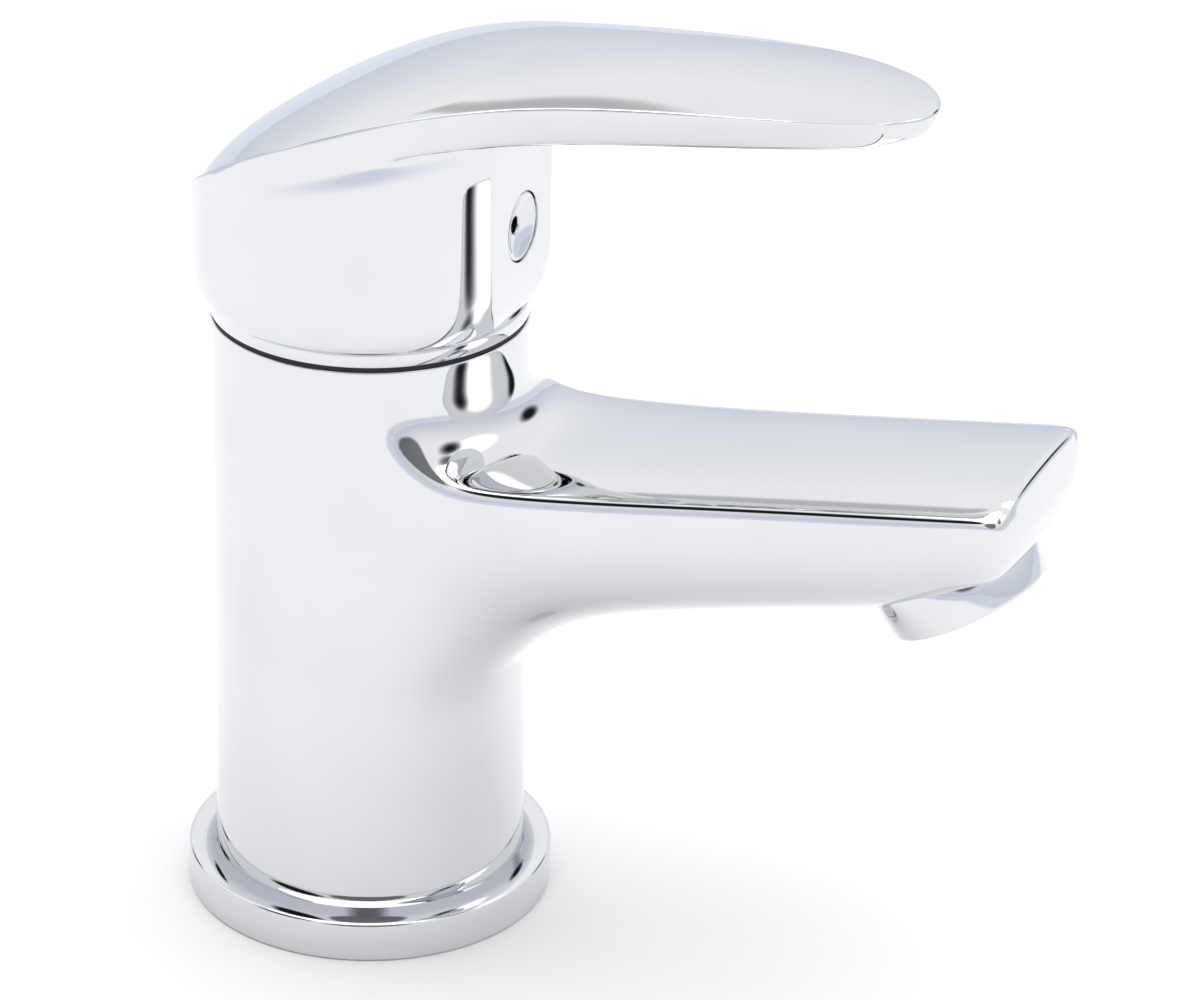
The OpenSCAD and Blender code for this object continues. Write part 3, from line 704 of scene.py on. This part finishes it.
def skirt_cage():
    bm, ring = first_ring(SEGMENTS, skirt_row(*LOWER_EDGE))
    rows = [ring]
    for points in [skirt_row(*row) for row in LOWER_WALL] + [
            tilted_row(kind) for kind in WALL_SHARES + ("under", "rim")]:
        ring = next_row(bm, ring, points)
        rows.append(ring)
    # the front of the top ring is part of the lens, so it takes the lens's crown
    for i in range(1 - MIDDLE, MIDDLE):
        beside = abs(ring[i].co.y / ring[MIDDLE].co.y)
        ring[i].co.z += CROWN * MM * (1 - beside ** CROWN_SHAPE)
    return bm, rows


casting, skirt = skirt_cage()
print("skirt cage:", len(skirt), "rings of", SEGMENTS, "points")

# %% [markdown]
# The flat at the front has a small round recess for a plug. Its cage is made
# by taking out the point in the middle of the flat, moving the eight points
# round it onto a circle, and extruding that circle inwards.

# %% Recess for the plug
INDEX_Z, RECESS_R = 110.6, 5.2
RECESS_DEPTHS = (0.35, 4.4)


def open_recess(bm, rows):
    low, middle, high = rows
    mouth = [low[0], low[1], middle[1], high[1], high[0], high[-1], middle[-1], low[-1]]
    bmesh.ops.delete(bm, geom=[middle[0]], context="VERTS")
    drawn = RECESS_R * grow(len(mouth))
    for i, vert in enumerate(mouth):
        a = math.tau * i / len(mouth) - math.pi / 2
        vert.co = Vector((FLAT_X, drawn * math.cos(a), INDEX_Z + drawn * math.sin(a))) * MM
    inner = mouth
    for depth in RECESS_DEPTHS:
        inner = next_row(bm, inner, [(FLAT_X - depth, v.co.y / MM, v.co.z / MM) for v in mouth])
        crease(bm, inner, 0.6)
    crease(bm, mouth, 0.9)


open_recess(casting, skirt[3:6])
for low, high in zip(skirt[2:-2], skirt[3:-1]):
    for i in (FLAT_HALF, -FLAT_HALF):  # the two upright corners of the flat
        crease(casting, [low[i], high[i]], 0.55, closed=False)
print("recess", round(2 * RECESS_R, 1), "mm across at", INDEX_Z, "mm")

# %% [markdown]
# With the lever lifted, the inside of the skirt can be seen, so the wall gets
# a thickness: its lower edge is extruded in and up, and it narrows in steps.

# %% Inside of the skirt
SKIRT_INSIDE = ((24.0, 97.0), (23.85, 99.5), (23.3, 100.0), (22.0, 104.0))
inner = skirt[0]
for row in SKIRT_INSIDE:
    inner = next_row(casting, inner, skirt_row(*row))
crease(casting, skirt[0], 0.4)
print("skirt wall:", round(LOWER_EDGE[0] - SKIRT_INSIDE[0][0], 1), "mm at its lower edge")

# %% [markdown]
# ## Lever
# The front faces between the lens's rim and its underside are taken out, and
# the hole is extruded forward. A section has a top row with the lens's crown
# and a flatter row under it. The middle of each section runs ahead of its
# corners, so the rows turn gradually into the round tip.

# %% Lever cage
# x of the corners, how far the middle is ahead, thickness, inset of the underside
LEVER_STATIONS = (
    (19, 11, 6.3, 1.5), (30, 6.5, 6.3, 2.2), (43, 2.5, 6.2, 2.4), (56, 1.5, 5.8, 2.4),
    (67, 2.5, 5.2, 2.2), (75, 5.5, 4.6, 1.9), (80.3, 4.6, 4.2, 1.6),
)
SIDE_CREASES = (0.7, 0.4, 0.2, 0.2, 0.35, 0.6, 0.8)  # crisp, melting away, crisp at the tip
TIP_FROM = 79             # sections past this one lie flat, to close the tip
UNDER_ARCH = 0.8
top, under = skirt[-1], skirt[-2]
front = [i % SEGMENTS for i in range(MIDDLE, -MIDDLE - 1, -1)]


def lever_section(x, arch, thick, inset):
    w = lens_half_width(x)
    crowned = 1 if x < TIP_FROM else 0
    upper, lower = [], []
    for u in map(across, range(ACROSS)):
        ahead = x + arch * (1 - u * u)
        rim = crest_height(ahead) - crown_at(ahead)
        rise = crown_at(ahead) * (1 - abs(u) ** CROWN_SHAPE) * crowned
        upper.append((ahead, w * u, rim + rise))
        hollow = UNDER_ARCH * (1 - u * u) * crowned
        lower.append((ahead - inset * 0.5, (w - inset) * u, rim - thick + hollow))
    return upper + lower[::-1]


def open_for_lever(bm):
    edge_points = {ring[i] for ring in (top, under) for i in front}
    doomed = [f for f in bm.faces if all(v in edge_points for v in f.verts)]
    bmesh.ops.delete(bm, geom=doomed, context="FACES_ONLY")
    struts = [between(top[i], under[i]) for i in front[1:-1]]
    bmesh.ops.delete(bm, geom=struts, context="EDGES")
    return [top[i] for i in front] + [under[i] for i in reversed(front)]


section = open_for_lever(casting)
sides = [[section[0]], [section[ACROSS - 1]]]
for station in LEVER_STATIONS:
    section = next_row(casting, section, lever_section(*station))
    sides[0].append(section[0])
    sides[1].append(section[ACROSS - 1])
for i in range(ACROSS - 1):  # close the tip with the lens's rounded edge
    corners = [section[i], section[i + 1], section[-2 - i], section[-1 - i]]
    bmesh.ops.contextual_create(casting, geom=corners)
crease(casting, section[:ACROSS], 0.8, closed=False)
for side in sides:
    for a, b, hard in zip(side, side[1:], SIDE_CREASES):
        crease(casting, [a, b], hard, closed=False)
print("lever cage:", len(LEVER_STATIONS), "sections of", len(section), "points")

# %% [markdown]
# ## Lid
# Behind the lever, the lens closes the skirt. Rows run from side to side, each
# with its crown. The first bows forward as the lever's sections do, the third
# bows back, and the last one meets the rim.
# The rim's crease is soft in the middle of the back and crisp at the sides.

# %% Lid cage
# how far a row's middle is ahead of its ends, and how full it is
LID_ROWS = ((10, 0.9), (1, 1.1), (-13, 1.5), (0, 0))
REAR_CREASE, REAR_CREASE_STEP, MOST_CREASE = 0.3, 0.15, 0.75
MERGE_LID = 1e-6
rear = [top[i] for i in range(MIDDLE, SEGMENTS - MIDDLE + 1)]
for i, pair in enumerate(zip(rear, rear[1:])):
    hard = REAR_CREASE + REAR_CREASE_STEP * abs(i + 0.5 - len(rear) / 2)
    crease(casting, list(pair), min(MOST_CREASE, hard), closed=False)


def lid_row(left, right, arch, fuller):
    points = []
    for u in map(across, range(ACROSS)):
        edge = left.co.lerp(right.co, (1 - u) / 2) / MM
        x = edge.x + arch * (1 - u * u)
        z = crest_height(x) + fuller * (1 - u * u) - CROWN * abs(u) ** CROWN_SHAPE
        points.append((x, edge.y, z))
    return [left.co / MM] + points[1:-1] + [right.co / MM]


chain = [top[i] for i in front]
for row, (arch, fuller) in enumerate(LID_ROWS, 1):
    points = lid_row(rear[row], rear[-1 - row], arch, fuller)
    if row == len(LID_ROWS):
        points = [v.co / MM for v in rear[row:row + ACROSS]]
    chain = next_row(casting, chain, points, closed=False)
bmesh.ops.remove_doubles(casting, verts=casting.verts, dist=MERGE_LID)
print("lid:", len(LID_ROWS), "rows behind the lever")

# %% [markdown]
# The handle's cage is closed, so it becomes a piece that rides on the lever.

# %% Handle skin
finished(casting, "handle_casting", CHROME_ON_ZINC, "lever", ["handle"], SMOOTH)

# %% [markdown]
# ## Plug
# The recess at the front of the skirt holds a small plated plug. It is dished,
# and a hole in its middle lets a key reach the grub screw behind it. It is a
# turned shape, so it is spun, about the X axis.

# %% Plug in the recess
KEY_HOLE_R, DISH_R, PLUG_R = 1.25, 4.55, 5.05
PLUG_FACE, PLUG_BACK, DISH_DEPTH = 23.8, 19.7, 1.1
DISH_STEPS = 10


def dish_height(r):
    return PLUG_FACE - DISH_DEPTH * (1 - (r / DISH_R) ** 2)


radii = [KEY_HOLE_R + (DISH_R - KEY_HOLE_R) * i / DISH_STEPS for i in range(DISH_STEPS + 1)]
lip = dish_height(KEY_HOLE_R)
profile = [(KEY_HOLE_R, PLUG_BACK), (KEY_HOLE_R, lip - 0.25), (KEY_HOLE_R + 0.07, lip)]
profile += [(r, dish_height(r)) for r in radii[1:]]
profile += [(PLUG_R - 0.15, PLUG_FACE), (PLUG_R, PLUG_FACE - 0.15), (PLUG_R, PLUG_BACK)]
profile += profile[:1]
in_recess = Matrix.Translation(Vector((0, 0, INDEX_Z)) * MM) @ Matrix.Rotation(math.pi / 2, 4, "Y")
finished(spin_up(profile, 64, in_recess), "plug_skin", CHROME_ON_ABS, "lever",
         ["index_plug"])

# %% [markdown]
# ## Aerator
# The aerator's housing is a short turned ring with a rounded lower lip. It
# screws into the outlet face, so it is spun and then leaned over with it. Its
# profile goes down the thread's outside, over the collar and lip, and back up
# the bore.

# %% Aerator housing
BORE_R, THREAD_R, COLLAR_R = 10.15, 11.45, 12.3
profile = [(BORE_R, 7.5), (THREAD_R, 7.5), (THREAD_R, 1.6), (COLLAR_R - 0.1, 1.5)]
profile += [(COLLAR_R, 1.3), (12.25, -1.5), (12.0, -3.6)] + arc(11.2, -4.5, 0.65, 0, -90, 4)
profile += [(10.1, -5.15), (9.6, -4.9), (9.55, -3.8), (BORE_R, -3.75), (BORE_R, 7.5)]
in_outlet = Matrix.Translation(Vector((OUTLET_X, 0, OUTLET_Z)) * MM)
in_outlet = in_outlet @ Matrix.Rotation(-LEAN, 4, "Y")
finished(spin_up(profile, 96, in_outlet), "aerator_ring_skin", CHROME_ON_BRASS, "body",
         ["aerator_housing"])

# %% [markdown]
# ## Base ring
# A plated ring covers the hole in the basin round the foot. It has a rounded
# upper edge, and stands a hair clear of the column, which leaves the thin dark
# line between them.

# %% Base ring
BASE_R, BASE_BORE_R = 27.55, 20.7
profile = [(BASE_BORE_R, 0.0), (BASE_R - 0.25, 0.0), (BASE_R, 0.3)]
profile += arc(BASE_R - 0.6, 5.7, 0.6, 0, 90)
profile += [(23.45, 6.75), (23.4, 2.6), (BASE_BORE_R, 2.5), (BASE_BORE_R, 0.0)]
finished(spin_up(profile), "base_ring_skin", CHROME_ON_BRASS, "body", ["base_ring"])

# %% [markdown]
# ## Trim ring
# A second ring lies between the column and the handle. Its shoulder is a large
# round, which shows as a bright line under the skirt.

# %% Trim ring
TRIM_R, TRIM_BORE_R, TRIM_LOW, TRIM_TOP, SHOULDER = 23.2, 19.1, 94.05, 97.3, 1.4
profile = [(TRIM_BORE_R, TRIM_LOW), (TRIM_R - 0.3, TRIM_LOW), (TRIM_R, TRIM_LOW + 0.3)]
profile += [(TRIM_R, TRIM_TOP - SHOULDER)]
profile += arc(TRIM_R - SHOULDER, TRIM_TOP - SHOULDER, SHOULDER, 0, 90)
profile += [(TRIM_BORE_R, TRIM_TOP), (TRIM_BORE_R, TRIM_LOW)]
finished(spin_up(profile), "trim_ring_skin", CHROME_ON_BRASS, "body", ["trim_ring"])

# %% [markdown]
# ## Floor
# A studio stands such an object on a board painted matt white. Away from the object its colour turns a
# cool light grey, out of the camera's view. That grey is painted shade, as if the board fell away into
# shade: the chrome mirrors that part, and the grey gives its white faces some tone.

# %% Floor
FLOOR_HALF, SHADE_FROM, SHADE_TO = 3, 0.42, 0.62  # metres

floor_bm = bmesh.new()
bmesh.ops.create_grid(floor_bm, x_segments=1, y_segments=1, size=FLOOR_HALF)
mesh = bpy.data.meshes.new("floor")
floor_bm.to_mesh(mesh)
floor_bm.free()
floor = bpy.data.objects.new("floor", mesh)
bpy.context.scene.collection.objects.link(floor)
paint, tree, shader, place = started("white floor with painted shade")
shader.inputs["Roughness"].default_value = 0.8
# painted shade: the floor's colour goes from white to cool grey with distance from the object
away = add(tree, "ShaderNodeVectorMath", {"operation": "LENGTH"}, links={0: place})
painted_shade_fade = add(tree, "ShaderNodeMapRange", {"interpolation_type": "SMOOTHSTEP"},
           {"From Min": SHADE_FROM, "From Max": SHADE_TO}, {"Value": away.outputs["Value"]})
shade = add(tree, "ShaderNodeMix", RGBA, {"A": linear("#F4F4F4"), "B": linear("#CDD3DD")},
            {"Factor": painted_shade_fade.outputs["Result"]})
tree.links.new(shade.outputs["Result"], shader.inputs["Base Color"])
mesh.materials.append(paint)
print("floor made, white to", SHADE_FROM, "m from the object")

# %% [markdown]
# ## Room
# Mirror surfaces show the room, so the room is what gets lit. Most of it is
# white, with a cool grey near the horizon and a brighter softbox to the right.
# Black panels stand behind the camera, on the left and at the far right. Broad
# faces look at the white parts, and tight edges and hollows catch the panels,
# which draws the thin black lines along the edges of polished chrome. Each
# panel could be a real plane, but the world's own nodes can hold them all: a
# panel is a round patch of directions, aimed by azimuth and elevation.

# %% Room
# azimuth, elevation, half angle in degrees, softness of the edge, darkness
PANELS = (
    (-66, 30, 25, 0.02, 0.8),      # behind the camera
    (-125, 40, 17, 0.02, 1),       # near left
    (-2, 38, 8, 0.01, 1),          # right
    (0, 54, 6, 0.01, 1),           # right, high
    (62, 14, 9, 0.01, 1),          # far right, low
    (160, 20, 8, 0.006, 1),        # left, low
    (131, 43, 5, 0.003, 0.45),     # far left, high
)
SOFTBOX = (20, 40, 14, 0.02, 1)
ROOM_POWER, SOFTBOX_POWER = 1.1, 1.3
HORIZON_LOW, HORIZON_HIGH = -0.05, 0.5  # height of a direction, 1 is straight up
WHITE, HORIZON_GREY, PANEL_BLACK = "#FFFFFF", "#CFD6E1", "#1C1F26"


def patch(tree, direction, azimuth, elevation, half_angle, soft, depth):
    """depth inside a round patch of directions and 0 outside it."""
    a, e = math.radians(azimuth), math.radians(elevation)
    aim = (math.cos(a) * math.cos(e), math.sin(a) * math.cos(e), math.sin(e))
    facing = add(tree, "ShaderNodeVectorMath", {"operation": "DOT_PRODUCT"}, {1: aim}, {0: direction})
    edge = math.cos(math.radians(half_angle))
    return add(tree, "ShaderNodeMapRange", {"interpolation_type": "SMOOTHSTEP"},
               {"From Min": edge - soft, "From Max": edge + soft, "To Max": depth},
               {"Value": facing.outputs["Value"]}).outputs["Result"]


world = bpy.data.worlds.new("studio")
world.use_nodes = True
tree = world.node_tree
tree.nodes.clear()
direction = add(tree, "ShaderNodeTexCoord").outputs["Generated"]
darkness, *others = [patch(tree, direction, *panel) for panel in PANELS]
for other in others:
    darkness = add(tree, "ShaderNodeMath", {"operation": "MAXIMUM"},
                   links={0: darkness, 1: other}).outputs[0]
height = add(tree, "ShaderNodeSeparateXYZ", links={"Vector": direction}).outputs["Z"]
lifted = add(tree, "ShaderNodeMapRange", values={"From Min": HORIZON_LOW, "From Max": HORIZON_HIGH},
             links={"Value": height})
walls = add(tree, "ShaderNodeMix", RGBA, {"A": linear(HORIZON_GREY), "B": linear(WHITE)},
            {"Factor": lifted.outputs["Result"]})
room = add(tree, "ShaderNodeMix", RGBA, {"B": linear(PANEL_BLACK)},
           {"Factor": darkness, "A": walls.outputs["Result"]})
print("room:", len(PANELS), "dark panels")

# %% [markdown]
# The backdrop that the eye sees straight on stays plain white, whatever the
# chrome mirrors: the Light Path node tells the two apart. The softbox uses the
# same kind of patch as the panels, to brighten instead of darken. A wide, weak
# sun from overhead gives the soft shadow on the floor.

# %% Light
SUN_POWER, SUN_WIDTH = 1.2, math.radians(60)

seen = add(tree, "ShaderNodeLightPath").outputs["Is Camera Ray"]
shown = add(tree, "ShaderNodeMix", RGBA, {"B": linear(WHITE)},
            {"Factor": seen, "A": room.outputs["Result"]})
power = add(tree, "ShaderNodeMath", {"operation": "MULTIPLY_ADD"},
            {1: SOFTBOX_POWER, 2: ROOM_POWER}, {0: patch(tree, direction, *SOFTBOX)})
glow = add(tree, "ShaderNodeBackground",
           links={"Color": shown.outputs["Result"], "Strength": power.outputs[0]})
add(tree, "ShaderNodeOutputWorld", links={"Surface": glow.outputs["Background"]})
bpy.context.scene.world = world

sun = bpy.data.lights.new("soft_overhead", "SUN")
sun.energy, sun.angle = SUN_POWER, SUN_WIDTH
bpy.context.scene.collection.objects.link(bpy.data.objects.new("soft_overhead", sun))
bpy.context.scene.view_settings.view_transform = "Standard"
print("room and overhead light made")
